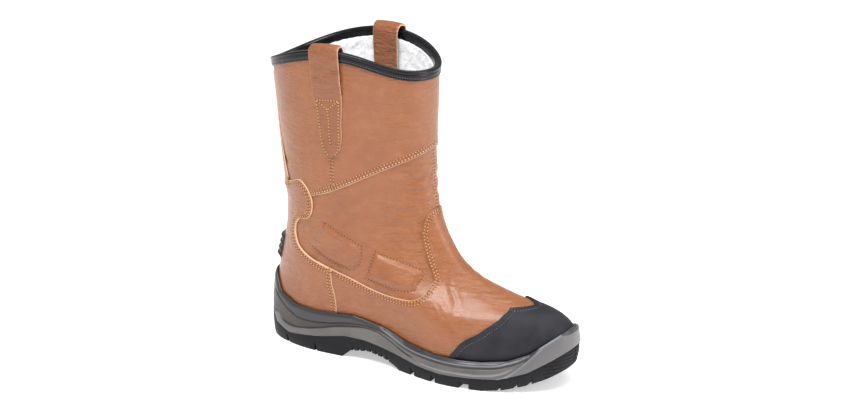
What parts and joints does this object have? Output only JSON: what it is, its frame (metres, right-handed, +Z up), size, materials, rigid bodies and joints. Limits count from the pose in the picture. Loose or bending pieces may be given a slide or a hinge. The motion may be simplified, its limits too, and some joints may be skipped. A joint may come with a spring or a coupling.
{
  "type": "rigger boot",
  "caption": "Pull-on safety rigger boot, right foot, with lined leather leg, scuff toe cap, heel counter, pull straps and a moulded cup sole.",
  "frame": {"origin": "middle of the boot's footprint box, on the plane that the sole stands on", "axes": "+X from heel to toe, +Y to the inner side of the foot, +Z up"},
  "size_m": [0.3084, 0.1222, 0.3013],
  "materials": {
    "leather": "semi-gloss grained",
    "strap_leather": "semi-gloss grained",
    "scuff_rubber": "matte",
    "binding": "gloss",
    "cup_foam": "satin",
    "rubber": "matte",
    "footbed": "matte"
  },
  "bodies": {
    "root": {"upper": "leather", "outsole": "rubber", "midsole": "cup_foam", "insole": "footbed", "toe_cap": "scuff_rubber", "counter": "leather", "back_strip": "leather", "collar_binding": "binding", "pull_loop_lateral": "strap_leather", "pull_loop_medial": "strap_leather", "heel_spur": "scuff_rubber"}
  },
  "joints": []
}
